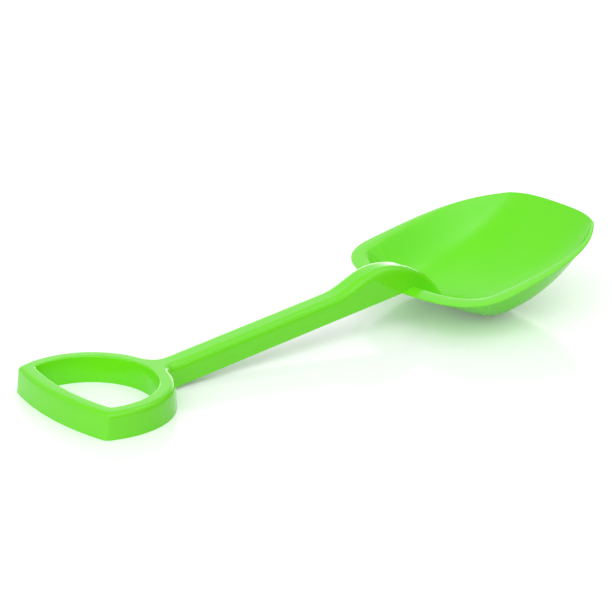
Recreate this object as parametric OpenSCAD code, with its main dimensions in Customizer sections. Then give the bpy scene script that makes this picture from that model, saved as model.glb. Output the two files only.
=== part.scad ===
// Moulded sand shovel: a D-shaped grip, an open-backed channel shaft, a humped neck and a dished scoop.
// Millimetres. It lies as it rests on a floor: the grip flat, the scoop on its belly, the shaft rising.
// x runs from the grip to the cutting edge, y to the left, z up; the middle of the length is at x = 0.

/* [Whole shovel] */
// length from the grip bar to the cutting edge
overall_len = 401.4; // [340:0.2:460]
// wall of the moulding
wall = 2.4; // [1.8:0.1:3]
// angle between the floor and the shaft
shaft_rise = 6.8; // [4:0.1:9]

/* [Grip] */
// half the outer width of the ring, which is also its outer radius beside the hand bar
ring_r = 52.5; // [46:0.5:60]
// how much flatter than round the ring is where it meets the shaft
ring_flat = 2.5; // [0:0.1:5]
// how far the hand bar bows out past its two corners
bar_bow = 6.6; // [3:0.1:10]
// angle round the ring from the shaft to the two corners of the bar
corner_angle = 113.9; // [106:0.1:122]
// outer radius of the two corners
corner_r = 5; // [4:0.5:9]
// radius of the two corners inside the loop
loop_corner_r = 6; // [3:0.5:9]
// height of the band
band_h = 16.3; // [12:0.1:20]
// width of the flat top of the band
band_top_w = 9.6; // [8:0.1:14]
// how much the outer wall of the band spreads towards the floor
band_out_draft = 0.6; // [0:0.1:2]
// how much the inner wall of the band spreads towards the floor
band_in_draft = 1.9; // [0:0.1:3]
// rounding of the outer top edge of the band
band_edge_r = 3.6; // [2.6:0.1:5.5]
// rounding of the inner top edge of the band
band_inner_edge_r = 1.2; // [0.6:0.1:2.5]
// concave fillet between the ring and the shaft
throat_r = 11; // [8:0.5:18]

/* [Shaft] */
// half the width of the channel at its open lower edge
shaft_half_w = 9; // [7.5:0.1:11]
// how much narrower each side is at the shoulder
shaft_draft = 0.5; // [0.2:0.1:1]
// height of the channel
shaft_h = 14.2; // [12:0.1:18]
// rounding of the two upper shoulders
shoulder_r = 5; // [3.5:0.1:6]
// height of the lower edge above the floor where the shaft leaves the ring
shaft_lift = 2.2; // [0.5:0.1:4]
// thickness of the stiffening webs inside the channel
web_t = 1.8; // [1.2:0.1:2.5]
// share of the channel's depth that a web fills
web_depth = 0.7; // [0.4:0.05:0.9]

/* [Neck] */
// length over which the hump climbs
hump_len = 40; // [34:0.5:50]
// height of the hump over the line of the shaft
hump_rise = 6.6; // [3:0.1:9]
// distance from the top of the hump to the tip of its tongue in the scoop
tongue_len = 57; // [50:0.5:64]
// radius of the tongue's rounded tip, seen from above
tongue_tip_r = 12; // [9:0.5:20]

/* [Scoop] */
// length of the rim, from the back of the lip to the middle of the cutting edge
scoop_len = 145.2; // [130:0.2:160]
// half the greatest width over the lip
scoop_half_w = 70.7; // [62:0.1:80]
// distance of the widest place from the back of the lip
widest_u = 37.5; // [32:0.5:44]
// half the width of the cutting edge between its corners
edge_half_w = 40; // [34:0.5:48]
// how far the cutting edge bows out past its corners
edge_bow = 6.2; // [3:0.1:9]
// thickness of the cutting edge
edge_t = 1.4; // [1:0.1:2.4]
// angle between the floor and the plane of the rim
rim_tilt = 12; // [9:0.5:15]
// how far the rim sags below a straight line from its back to the cutting edge
rim_sag = 0.9; // [0:0.1:2]
// greatest depth of the dish below the rim
dish_depth = 32; // [24:0.1:36]
// share of the depth that the floor loses towards its creases
dish_rise = 0.31; // [0.1:0.01:0.4]
// slope of the side walls at the back
wall_angle = 64; // [56:1:68]
// slope of the side walls at the cutting edge's corners
wall_angle_front = 49; // [42:1:58]
// slope of the rear wall
rear_angle = 50; // [45:1:62]
// width of the lip at the back
lip_w = 10.5; // [8:0.5:13]
// width of the lip at the cutting edge's corners
lip_w_front = 1.4; // [0.8:0.1:3]
// thickness of the lip's outer edge at the back
lip_t = 1.4; // [1.2:0.1:3]
// thickness of the lip's outer edge at the cutting edge's corners
lip_t_front = 0.8; // [0.6:0.1:2]

/* [Hidden] */
$fn = 96;
green = [0.45, 0.88, 0.2];
// a hair of room between the lip's two ends and the sides of the neck
fit = 0.05;

// Grip: the ring's centre and the bar's centre lie on the middle line. The ring is a half circle beside
// the bar, then on each side an arc about a centre off the line, then one flatter arc across the shaft
corner_y = ring_r * sin(corner_angle);
bar_r = (corner_y * corner_y + bar_bow * bar_bow) / (2 * bar_bow);
ring_x = bar_bow - ring_r * cos(corner_angle);
band_foot_w = band_out_draft + band_top_w + band_in_draft;
// angle at which each side arc runs into the flatter one, and angle at which it leaves the half circle
front_turn = 40;
bar_turn = 94;
limb_off = ring_flat / (1 - cos(bar_turn) - sin(bar_turn) * tan(front_turn / 2));
limb_at = [ring_x, 0] + limb_off * [cos(bar_turn), sin(bar_turn)];
limb_r = ring_r - limb_off;
front_r = limb_r + limb_at[1] / sin(front_turn);
front_x = limb_at[0] - limb_at[1] / tan(front_turn);
throat_x = front_x + sqrt(pow(front_r + throat_r, 2) - pow(shaft_half_w + throat_r, 2));
fillet_turn = atan2(shaft_half_w + throat_r, throat_x - front_x);

// Shaft: it starts where the throat's fillets end
shaft_x = throat_x + 2;
scoop_x = overall_len - scoop_len * cos(rim_tilt) - edge_t * sin(rim_tilt);
shaft_len = (scoop_x - hump_len - 13 - shaft_x) / cos(shaft_rise);
shaft_end_x = shaft_x + shaft_len * cos(shaft_rise);
web_at = [0.58, 0.985];

// Scoop: the rim's plane leaves the line of the shaft's lower edge, lifted so that the belly clears the floor
belly_lift = 0.22;
scoop_z = shaft_lift + (scoop_x - shaft_x) * tan(shaft_rise) + belly_lift;
dish_u = 0.43 * scoop_len;
floor_half_w = 48;
corner_u = scoop_len - edge_bow;

// Grids of the scoop: rows from back to front, columns from the middle to one side
rows = 26;
side_cols = 14;
arc_step = 15;

// Curve helpers
function mix(a, b, t) = a + (b - a) * t;
function bezier(p, t) = pow(1 - t, 3) * p[0] + 3 * t * pow(1 - t, 2) * p[1]
                        + 3 * t * t * (1 - t) * p[2] + t * t * t * p[3];
function bezier_dir(p, t) = let (d = pow(1 - t, 2) * (p[1] - p[0]) + 2 * t * (1 - t) * (p[2] - p[1])
                                     + t * t * (p[3] - p[2])) d / norm(d);
function arc(c, r, a0, a1, n) = [for (i = [0:n]) c + r * [cos(mix(a0, a1, i / n)), sin(mix(a0, a1, i / n))]];

// Solid from a list of closed sections with equal numbers of points. An end is closed as one flat face,
// or, for a section that is an outer path and its inner path back, as a strip between the two.
module loft(sections, flat_ends = false) {
    m = len(sections[0]);
    n = len(sections);
    last = (n - 1) * m;
    points = [for (s = sections) each s];
    skin = [for (j = [0:n - 2], i = [0:m - 1]) let (a = j * m + i, b = j * m + (i + 1) % m)
            each [[a, b, b + m], [a, b + m, a + m]]];
    flat = [[for (i = [m - 1:-1:0]) i], [for (i = [0:m - 1]) last + i]];
    strip = [for (i = [0:m / 2 - 2]) let (a = i, b = i + 1, c = m - 2 - i, d = m - 1 - i)
             each [[a, c, b], [a, d, c], [last + a, last + b, last + c], [last + a, last + c, last + d]]];
    polyhedron(points, concat(skin, flat_ends ? flat : strip));
}

// Grip band, as offsets inward from its outer foot and heights
function band_profile() = concat(
    [[0, 0]],
    [for (a = [0:22.5:90]) [band_out_draft + band_edge_r * (1 - cos(a)),
                            band_h - band_edge_r * (1 - sin(a))]],
    [for (a = [90:-30:0]) [band_out_draft + band_top_w - band_inner_edge_r * (1 - cos(a)),
                           band_h - band_inner_edge_r * (1 - sin(a))]],
    [[band_foot_w, 0], [band_foot_w - wall, 0],
     [band_out_draft + band_top_w - wall, band_h - wall], [band_out_draft + band_edge_r, band_h - wall],
     [band_out_draft + wall, band_h - band_edge_r], [wall, 0]]);

// Half of the grip's outline at an inward offset: limb, corner, then half of the bar
function grip_half(d) = let (
    r = mix(corner_r, loop_corner_r, d / band_foot_w),
    a = ring_r - d - r,
    b = bar_r - d - r,
    gap = bar_r - ring_x,
    fx = ring_x + (a * a - b * b + gap * gap) / (2 * gap),
    fy = sqrt(a * a - pow(fx - ring_x, 2)),
    at_limb = atan2(fy, fx - ring_x),
    at_bar = atan2(fy, fx - bar_r)) concat(
    arc([ring_x, 0], ring_r - d, bar_turn, at_limb, 3),
    arc([fx, fy], r, mix(at_limb, at_bar, 1 / 6), mix(at_limb, at_bar, 5 / 6), 4),
    arc([bar_r, 0], bar_r - d, at_bar, 180, 8));
function grip_end(d) = let (h = grip_half(d), n = len(h))
    concat(h, [for (i = [n - 2:-1:0]) [h[i][0], -h[i][1]]]);

// Piece of the band along an arc of the ring
module band_arc(centre, r, a0, a1)
    translate(centre)
        rotate([0, 0, a0])
            rotate_extrude(angle = a1 - a0)
                polygon([for (p = band_profile()) [r - p[0], p[1]]]);

// Inverted channel of a given height; inset moves every face inward by one wall
function channel(h, inset = 0, half_w = shaft_half_w, r = shoulder_r) = let (
    run = max(r - inset, 0.2),
    rise = max(min(r, h) - inset, 0),
    c = half_w - shaft_draft - inset - run)
    concat([[-(half_w - inset), 0]],
           [for (a = [180:-arc_step:90]) [-c + run * cos(a), h - inset - rise * (1 - sin(a))]],
           [for (a = [90:-arc_step:0]) [c + run * cos(a), h - inset - rise * (1 - sin(a))]],
           [[half_w - inset, 0]]);
function channel_ring(h, half_w = shaft_half_w, r = shoulder_r) = let (
    inner = channel(h, wall, half_w, r))
    concat(channel(h, 0, half_w, r), [for (k = [len(inner) - 1:-1:0]) inner[k]]);

// Throat: the channel flares from the shaft into the ring along the two concave fillets
flare_steps = 10;
flare_x = front_x + front_r * cos(fillet_turn) - 1.5;
function flare_half_w(x) = let (back = min(max(throat_x - x, 0), 0.95 * throat_r))
    shaft_half_w + throat_r - sqrt(throat_r * throat_r - back * back);
function flare_section(s) = let (
    x = mix(flare_x, shaft_x, s),
    h = mix(band_h - fit - shaft_lift + (shaft_x - flare_x) * tan(shaft_rise), shaft_h, s * s * (3 - 2 * s)),
    along = (x - shaft_x) / cos(shaft_rise))
    [for (p = channel_ring(h, flare_half_w(x), mix(band_edge_r, shoulder_r, s)))
        [shaft_x + along * cos(shaft_rise) - p[1] * sin(shaft_rise), p[0],
         shaft_lift + along * sin(shaft_rise) + p[1] * cos(shaft_rise)]];

// Carries children that are drawn along +Z, with y up, onto the line of the shaft
module on_shaft(at = 0)
    translate([shaft_x, 0, shaft_lift])
        rotate([0, -shaft_rise, 0])
            translate([at, 0, 0])
                rotate([90, 0, 90])
                    children();

// Side view of the hump and its tongue: up from the shaft, over the top and down into the dish
hump_foot = [shaft_end_x, shaft_lift + shaft_len * sin(shaft_rise) + shaft_h * cos(shaft_rise)]
            - [shaft_h * sin(shaft_rise), 0];
hump_top = hump_foot + [hump_len, hump_len * tan(shaft_rise) + hump_rise];
tongue_tip = [hump_top[0] + tongue_len, 1];
climb = [hump_foot, hump_foot + 0.4 * hump_len * [1, tan(shaft_rise)],
         hump_top - [0.4 * hump_len, 0], hump_top];
fall = [hump_top, hump_top + [0.53 * tongue_len, 0],
        tongue_tip + [-0.1 * tongue_len, 0.34 * tongue_len], tongue_tip];
crest = concat([for (i = [0:20]) bezier(climb, i / 20)], [for (i = [1:30]) bezier(fall, i / 30)]);

// Between the shovel's x, z and the rim's own plane: u along the rim, w up from it
function sag(u) = 4 * rim_sag * u * (scoop_len - u) / pow(scoop_len, 2);
function to_rim(p) = let (d = p - [scoop_x, scoop_z], u = d[0] * cos(rim_tilt) + d[1] * sin(rim_tilt))
    [u, d[1] * cos(rim_tilt) - d[0] * sin(rim_tilt) + sag(u)];
function from_rim(u, v, w) = let (h = w - sag(u)) [scoop_x + u * cos(rim_tilt) - h * sin(rim_tilt), v,
                                                   scoop_z + u * sin(rim_tilt) + h * cos(rim_tilt)];
// the last point takes the line below the floor
crest_rim = concat([for (p = crest) to_rim(p)], [to_rim(tongue_tip) + [scoop_len, -3 * scoop_len]]);
function crest_w(u) = lookup(u, crest_rim);

// Outline of the lip as two curves, from the back round the rear corner and along the side
rear_curve = [[0, 0], [0, 0.745 * scoop_half_w], [0.393 * widest_u, scoop_half_w], [widest_u, scoop_half_w]];
taper = scoop_half_w - edge_half_w;
side_curve = [[widest_u, scoop_half_w], [mix(widest_u, corner_u, 0.523), scoop_half_w],
              [corner_u - 0.763 * taper, edge_half_w + 0.825 * taper], [corner_u, edge_half_w]];
// t runs from 0 at the back to 1 at the widest place and 2 at the cutting edge's corner
function outer_pt(t) = t < 1 ? bezier(rear_curve, t) : bezier(side_curve, t - 1);
function outer_in(t) = let (d = t < 1 ? bezier_dir(rear_curve, t) : bezier_dir(side_curve, t - 1))
    [d[1], -d[0]];
function lip_at(t) = t < 1 ? lip_w : mix(lip_w, lip_w_front, pow(t - 1, 0.7));
function lip_edge(t) = t < 1 ? lip_t : mix(lip_t, lip_t_front, t - 1);
function inner_pt(t) = outer_pt(t) + lip_at(t) * outer_in(t);

// Plan of the dish: row 0 is the rear wall's rim, the last row the cutting edge, the last column the side
rear_t = 0.62;
neck_t = lookup(shaft_half_w + fit, [for (t = [0:0.005:0.2]) [inner_pt(t)[1], t]]);
function col_share(k) = 1 - pow(1 - k / side_cols, 1.5);
function col_t(k) = mix(neck_t, rear_t, col_share(k));
function row_share(j) = pow(j / rows, 1.3);
function row_t(j) = mix(rear_t, 2, row_share(j));
neck_u = inner_pt(neck_t)[0];
rear_row = [for (k = [0:side_cols]) inner_pt(col_t(k))];
// the cutting edge is an arc from one end of the lip to the other
edge_end = inner_pt(2);
edge_sag = scoop_len - edge_end[0];
edge_r = (pow(edge_end[1], 2) + edge_sag * edge_sag) / (2 * edge_sag);
function edge_u(v) = scoop_len - edge_r + sqrt(edge_r * edge_r - v * v);
function side_half_w(j) = inner_pt(row_t(j))[1];
// place of a column on a row; x is its share of the way from the neck's side to the rim
function plan_v(j, x) = mix(shaft_half_w + fit, side_half_w(j), x);
function rear_u(x) = lookup(x, [for (k = [0:side_cols]) [col_x(k), rear_row[k][0]]]);
function col_x(k) = (rear_row[k][1] - rear_row[0][1]) / (rear_row[side_cols][1] - rear_row[0][1]);
function plan_u(j, x) = let (s = row_share(j))
    inner_pt(row_t(j))[0] + (1 - s) * (rear_u(x) - rear_row[side_cols][0])
    + s * (edge_u(plan_v(rows, x)) - edge_end[0]);

// Depth of the dish: an arched floor, held by the side and rear walls through a soft crease
// the floor is a parabola along the middle and fuller along its creases
function floor_depth(u, v) = let (
    x = (edge_u(v) - u) / (scoop_len - dish_u),
    y = pow(v / floor_half_w, 2))
    dish_depth * (1 - pow(abs(1 - x), mix(2, 3.3, y))) * (1 - dish_rise * y);
function soft_least(list, p) = pow(1 / (sum([for (d = list) pow(1 / max(d, 0.001), p)])), 1 / p);
function sum(list, i = 0) = i < len(list) ? list[i] + sum(list, i + 1) : 0;
function dish(j, x) = let (v = plan_v(j, x), u = plan_u(j, x), s = row_share(j)) soft_least([
    max(floor_depth(u, v), 0),
    tan(mix(wall_angle, wall_angle_front, s)) * (side_half_w(j) - v),
    tan(rear_angle) * (u - rear_u(x))], mix(4, 9, s));

// One point of the dish's upper face, and the same point of its lower face
function dish_top(j, x) = [plan_u(j, x), plan_v(j, x), -dish(j, x)];
function slope_of(a, b) = abs(a[2] - b[2]) / max(norm([a[0] - b[0], a[1] - b[1]]), 0.01);
function dish_drop(j, x) = let (
    across = slope_of(dish_top(j, max(x - 0.02, 0)), dish_top(j, min(x + 0.02, 1))),
    along = slope_of(dish_top(max(j - 0.25, 0), x), dish_top(min(j + 0.25, rows), x)))
    mix(wall, edge_t, pow(row_share(j), 3)) * sqrt(1 + min(across * across + along * along, 3.6));

// The tongue's columns are one half of the channel standing on the dish beside it; past its tip they
// sink into the dished floor
channel_half = len(channel(shaft_h)) / 2;
function tongue(j, inset) = let (
    foot = dish_top(j, 0),
    drop = inset > 0 ? dish_drop(j, 0) : 0,
    hollow = -foot[2] * dish_rise / pow(floor_half_w, 2),
    across = [for (p = channel(shaft_h, inset)) p[0]],
    last = len(across) - 1)
    [for (k = [channel_half:last]) let (
        v = across[k],
        u = foot[0] + row_share(j) * (edge_u(v) - edge_u(shaft_half_w)),
        h = max(crest_w(u + v * v / (2 * tongue_tip_r)) - foot[2], 0),
        sunk = max(1 - h / shoulder_r, 0),
        dip = drop - inset + hollow * (pow(shaft_half_w, 2) - v * v))
        [u, v, foot[2] + (k == last ? -drop : channel(h, inset)[k][1] - sunk * dip)]];

// One row of a face from the middle to the side
function half_row(j, inset) = concat(tongue(j, inset), [for (k = [0:side_cols]) let (x = col_x(k))
    dish_top(j, x) - [0, 0, inset > 0 ? dish_drop(j, x) : 0]]);
function full_row(half) = concat(
    [for (i = [len(half) - 1:-1:0]) [half[i][0], -half[i][1], half[i][2]]], half);
function placed(row) = [for (p = row) from_rim(p[0], p[1], p[2])];
function bowl_section(j) = let (top = full_row(half_row(j, 0)), low = full_row(half_row(j, wall)))
    placed(concat(top, [for (i = [len(low) - 1:-1:0]) low[i]]));

// Neck: channel sections whose feet run from the shaft's lower edge down to the underside of the lip
neck_steps = 16;
neck_foot_0 = [shaft_end_x, shaft_lift + shaft_len * sin(shaft_rise)];
neck_foot_1 = let (p = from_rim(neck_u, 0, -lip_t)) [p[0], p[2]];
function neck_section(i) = let (
    s = i / neck_steps,
    foot = mix(neck_foot_0, neck_foot_1, s),
    tilt = mix(shaft_rise, rim_tilt, s),
    up = [-sin(tilt), cos(tilt)],
    line = [for (p = crest) let (d = p - foot) [d[0] * cos(tilt) + d[1] * sin(tilt), d * up]],
    h = i == 0 ? shaft_h : lookup(0, line))
    [for (p = channel_ring(h)) [foot[0] + p[1] * up[0], p[0], foot[1] + p[1] * up[1]]];

// Lip: a flat rim whose inner face is the edge of the dish
function lip_section(t, drop) = let (o = outer_pt(t), i = inner_pt(t)) [
    from_rim(i[0], i[1], 0), from_rim(o[0], o[1], 0),
    from_rim(o[0], o[1], -lip_edge(t)), from_rim(i[0], i[1], -drop)];

module place() translate([-overall_len / 2, 0, 0]) children();

module grip_bar() color(green) place()
    loft([for (i = [0:len(grip_end(0)) - 1]) [for (p = band_profile()) let (q = grip_end(p[0])[i])
        [q[0], q[1], p[1]]]], flat_ends = true);

module grip_left() color(green) place() band_arc(limb_at, limb_r, front_turn, bar_turn);

module grip_right() mirror([0, 1, 0]) grip_left();

module grip_throat() color(green) place() {
    band_arc([front_x, 0], front_r, -front_turn, front_turn);
    loft([for (i = [0:flare_steps]) flare_section(i / flare_steps)]);
}

module shaft() color(green) place() {
    on_shaft()
        linear_extrude(height = shaft_len)
            polygon(channel_ring(shaft_h));
    // webs that stiffen the open channel
    for (s = web_at)
        on_shaft(s * shaft_len - web_t)
            linear_extrude(height = web_t)
                intersection() {
                    polygon(channel(shaft_h));
                    translate([-shaft_half_w, shaft_h * (1 - web_depth)])
                        square([2 * shaft_half_w, shaft_h]);
                }
}

module neck() color(green) place() loft([for (i = [0:neck_steps]) neck_section(i)]);

module scoop_bowl() color(green) place() loft([for (j = [0:rows]) bowl_section(j)]);

module lip_left() color(green) place()
    loft(concat([for (k = [0:side_cols]) lip_section(col_t(k), dish_drop(0, col_x(k)))],
                [for (j = [1:rows]) lip_section(row_t(j), dish_drop(j, 1))]));

module lip_right() mirror([0, 1, 0]) lip_left();

grip_bar();
grip_left();
grip_right();
grip_throat();
shaft();
neck();
scoop_bowl();
lip_left();
lip_right();
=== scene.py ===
"""Dresses the packed sand shovel: one glossy green moulding lying on a white acrylic floor."""

import math

import bmesh
import bpy
import numpy as np
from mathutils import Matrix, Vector


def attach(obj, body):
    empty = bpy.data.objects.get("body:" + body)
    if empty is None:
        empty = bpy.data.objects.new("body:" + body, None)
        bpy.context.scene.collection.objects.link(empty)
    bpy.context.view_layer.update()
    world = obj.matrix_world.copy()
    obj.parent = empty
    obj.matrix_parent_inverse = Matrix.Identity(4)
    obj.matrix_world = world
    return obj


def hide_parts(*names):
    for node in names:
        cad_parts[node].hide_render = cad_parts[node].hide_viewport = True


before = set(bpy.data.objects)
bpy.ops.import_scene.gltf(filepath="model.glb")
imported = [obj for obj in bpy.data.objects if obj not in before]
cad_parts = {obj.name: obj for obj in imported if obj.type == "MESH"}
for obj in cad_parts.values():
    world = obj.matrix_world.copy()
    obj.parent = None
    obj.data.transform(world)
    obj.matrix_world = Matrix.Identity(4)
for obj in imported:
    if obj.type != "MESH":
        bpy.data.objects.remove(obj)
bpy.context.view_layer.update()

# Sizes in millimetres, under the names of the part's source; a few differ a little, where the photograph
# shows a finer form. x runs from the outer face of the grip bar
MM = 0.001
OVERALL_LEN = 401.4
WALL = 2.4
SHAFT_RISE = math.radians(6.8)

RING_R = 52.5
RING_FLAT = 2.5
BAR_BOW = 6.6
CORNER_ANGLE = math.radians(113.9)
CORNER_R = 5.0
LOOP_CORNER_R = 6.0
BAND_H = 16.3
BAND_TOP_W = 9.6
BAND_OUT_DRAFT = 0.6
BAND_IN_DRAFT = 1.9
# how much more the bar's outer face leans in than the limbs' do
BAR_LEAN = 1.5
BAND_EDGE_R = 3.6
BAND_INNER_EDGE_R = 1.2
THROAT_R = 11.0
# straight stretch between the throat's fillet and the shaft, and the soft ramp of the top face
THROAT_RUN = 2.0
RAMP_LEN = 12.0

SHAFT_HALF_W = 9.0
SHAFT_DRAFT = 0.5
SHAFT_H = 14.2
SHOULDER_R = 5.0
SHAFT_LIFT = 2.2
WEB_T = 1.8
WEB_DEPTH = 0.7
WEB_AT = (0.58, 0.985)

# from the top of the hump to the back of the lip
NECK_LEAD = 13.0
HUMP_LEN = 40.0
HUMP_RISE = 6.6
TONGUE_LEN = 57.0
TONGUE_TIP_R = 12.0
TONGUE_TIP_Z = 1.0
# soft foot between the tongue and the dish, and the length over which it grows from nothing at the lip
TONGUE_FILLET = 9.0
TONGUE_FILLET_RUN = 25.0
# how softly the tongue's end sinks into the floor
TOE_BLEND = 6.0
# the most of the tongue's height that its shoulder and its foot take, and the power with which they reach it
SHOULDER_SHARE = 0.55
FOOT_SHARE = 0.45
TONGUE_SOFTNESS = 4

BELLY_LIFT = 0.22
SCOOP_LEN = 145.2
SCOOP_HALF_W = 70.69
WIDEST_U = 37.5
EDGE_HALF_W = 40.0
EDGE_BOW = 5.9
EDGE_T = 1.4
RIM_TILT = math.radians(12)
RIM_SAG = 0.9
DISH_DEPTH = 33.3
DISH_RISE = 0.31
# where the dish is deepest, as a share of its length, and the half width that its floor is arched over
DEEPEST_SHARE = 0.43
FLOOR_HALF_W = 48.0
# powers of the floor's curve along the middle and along its creases
FLOOR_POWERS = (2, 3.3)
# how sharply floor and wall meet inside and outside, at the back and at the front: a higher power is sharper
DISH_CREASE = (3.4, 9)
BELLY_CREASE = (3, 5)
# shares of the scoop's length between which the belly's crease goes from the one to the other
BELLY_SHARPENS = (0.2, 0.6)
WALL_ANGLE = math.radians(64)
WALL_ANGLE_FRONT = math.radians(49)
REAR_ANGLE = math.radians(50)
LIP_W = 10.5
LIP_W_FRONT = 1.2
# power with which the lip narrows to the front, and the least share of its width that its underside keeps
LIP_TAPER = 0.7
LEAST_UNDERSIDE = 0.3
# the lip's edge is drawn as thick as it looks: thinner than the solid's at the back, thicker at the front
LIP_T = 1.0
LIP_T_FRONT = 1.2
# rounding between the lip's top and the dish
LIP_ROUND = 0.8
# slope of the lip's crown at its inner edge, and the power with which it rises from the outer edge
LIP_CROWN = 0.2
CROWN_POWER = 1.4
# how much fuller the belly is outside than the dish inside, where its floor and wall meet
BELLY_BULGE = 3.4
# where that begins and is full: from the back and from the front, as shares of the scoop's length, and from
# the middle outwards
BULGE_FROM_BACK = (0.28, 0.38)
BULGE_FROM_FRONT = (0.78, 0.28)
BULGE_ACROSS = (14.0, 36.0)
# the rows stop this far short of the cutting edge, and its rounding runs ahead by a share of its half
# thickness
EDGE_INSET = 1.3
EDGE_AHEAD = 0.5

# Handles of the curves, as shares of the lengths that they belong to
HUMP_HANDLE = 0.4
FALL_START = 0.53
FALL_END = (-0.1, 0.34)
REAR_START = 0.745
REAR_END = 0.393
SIDE_START = 0.523
SIDE_END = (0.763, 0.825)

# Places along the lip's outline, which runs from 0 at the back to 1 at the widest place and 2 at the cutting
# edge's corner: where the back ends, where the side ends, and between which two the wall's slope turns from
# the back's to the side's
REAR_T = 0.62
FRONT_T = 2.0
WALL_TURNS = (0.55, 1.25)

# A place of the rim counts less by this power of its distance, and the counts along a straight rim add up to
# this much at a distance of one
RIM_POWER = 10
STRAIGHT_RIM = 0.859

# Places that follow from the sizes
corner_y = RING_R * math.sin(CORNER_ANGLE)
bar_r = (corner_y**2 + BAR_BOW**2) / (2 * BAR_BOW)
ring_x = BAR_BOW - RING_R * math.cos(CORNER_ANGLE)
band_foot_w = BAND_OUT_DRAFT + BAND_TOP_W + BAND_IN_DRAFT
# the ring's side arcs leave the half circle at the first angle and run into the flatter front arc at the
# second
BAR_TURN = math.radians(94)
FRONT_TURN = math.radians(40)
limb_off = RING_FLAT / (1 - math.cos(BAR_TURN) - math.sin(BAR_TURN) * math.tan(FRONT_TURN / 2))
limb_at = (ring_x + limb_off * math.cos(BAR_TURN), limb_off * math.sin(BAR_TURN))
limb_r = RING_R - limb_off
front_r = limb_r + limb_at[1] / math.sin(FRONT_TURN)
front_x = limb_at[0] - limb_at[1] / math.tan(FRONT_TURN)
fillet_y = SHAFT_HALF_W + THROAT_R
reach = front_r + THROAT_R
throat_x = front_x + math.sqrt(reach**2 - fillet_y**2)
fillet_angle = math.atan2(fillet_y, throat_x - front_x)
shaft_x = throat_x + THROAT_RUN
scoop_x = OVERALL_LEN - SCOOP_LEN * math.cos(RIM_TILT) - EDGE_T * math.sin(RIM_TILT)
shaft_end_x = scoop_x - HUMP_LEN - NECK_LEAD
shaft_len = (shaft_end_x - shaft_x) / math.cos(SHAFT_RISE)
scoop_z = SHAFT_LIFT + (scoop_x - shaft_x) * math.tan(SHAFT_RISE) + BELLY_LIFT
dish_u = DEEPEST_SHARE * SCOOP_LEN
corner_u = SCOOP_LEN - EDGE_BOW

# Numbers of points along the parts of a section, the grip, the shaft and the scoop
ARC_STEPS = 11
SIDE_STEPS = 5
LIMB_END_STEPS = 14
CORNER_STEPS = 15
BAR_STEPS = 40
LIMB_STEPS = 60
THROAT_STEPS = 9
RING_END_STEPS = 24
FLARE_STEPS = 22
SHAFT_STEPS = 60
NECK_STEPS = 70
CLIMB_STEPS = 201
FALL_STEPS = 301
FILLET_STEPS = 9
EDGE_STEPS = 11
LIP_TOP_STEPS = 15
LIP_ARC_STEPS = 7
DISH_COLUMNS = 76
DISH_ROWS = 150
BACK_STEPS = 801
RIM_STEPS = 900
# least rounding inside a hollow, and the distance under which two points are one place
SMALL_R = 0.3
SAME_PLACE = 0.002


def mix(a, b, t):
    return a + (b - a) * t


def smooth(t):
    t = np.clip(t, 0, 1)
    return t * t * (3 - 2 * t)


def ramp(t, start, end):
    """Soft step from 0 at the start to 1 at the end."""
    return smooth((t - start) / (end - start))


def bezier(points, t):
    p = np.asarray(points, float)
    t = np.asarray(t, float)[..., None]
    return (1 - t) ** 3 * p[0] + 3 * t * (1 - t) ** 2 * p[1] + 3 * t * t * (1 - t) * p[2] + t**3 * p[3]


def bezier_dir(points, t):
    p = np.asarray(points, float)
    t = np.asarray(t, float)[..., None]
    d = (1 - t) ** 2 * (p[1] - p[0]) + 2 * t * (1 - t) * (p[2] - p[1]) + t * t * (p[3] - p[2])
    return d / np.linalg.norm(d, axis=-1, keepdims=True)


def polar(centre, radius, angle):
    """Points at a radius and angles round a centre."""
    angle = np.asarray(angle, float)
    return np.stack([centre[0] + radius * np.cos(angle), centre[1] + radius * np.sin(angle)], -1)


def unit(rows):
    return rows / np.maximum(np.linalg.norm(rows, axis=-1, keepdims=True), 1e-9)


def whole(half):
    """Both sides of rows that run from the middle to the left."""
    right = half[:, :0:-1] * np.array([1, -1, 1])
    return np.concatenate([right, half], axis=1)


# Sections


def flank(h, r, draft, inset=0.0):
    """Rounded edge and side wall as (distance in from the foot, height), from the flat top to the foot."""
    run = max(r - inset, SMALL_R)
    turn = np.linspace(np.pi / 2, 0, ARC_STEPS)
    edge = np.stack([draft + inset + run * (1 - np.cos(turn)), h - inset - run * (1 - np.sin(turn))], -1)
    height = np.linspace(h - inset - run, LIP_T, SIDE_STEPS + 1)[1:]
    side = np.stack([inset + draft * height / (h - inset - run), height], -1)
    return np.vstack([edge, side, [[inset, 0]]])


def band_path(inset=0.0):
    """The grip's band as (distance in from its outer foot, height), from the outer foot to the inner one."""
    outer = flank(BAND_H, BAND_EDGE_R, BAND_OUT_DRAFT, inset)[::-1]
    inner = flank(BAND_H, BAND_INNER_EDGE_R, BAND_IN_DRAFT, inset)
    inner[:, 0] = band_foot_w - inner[:, 0]
    return np.vstack([outer, inner])


def channel_half(h, inset=0.0):
    """Half of the shaft's channel as (across, height), from the middle of its top to its foot."""
    down = flank(h, SHOULDER_R, SHAFT_DRAFT, inset)
    across = SHAFT_HALF_W - down[:, 0]
    top = np.stack([across[0] * top_shares, np.full(len(top_shares), down[0, 1])], -1)
    return np.vstack([top, np.stack([across, down[:, 1]], -1)[1:]])


def shell(outer, inner):
    """Grids of a closed wall between an outer and an inner face with equal numbers of points."""
    return [
        (outer, "skin"),
        (inner, "hollow"),
        (np.stack([outer[:, 0], inner[:, 0]]), "foot"),
        (np.stack([outer[:, -1], inner[:, -1]]), "foot"),
        (np.stack([outer[0], inner[0]]), "cut"),
        (np.stack([outer[-1], inner[-1]]), "cut"),
    ]


# Grip


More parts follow.
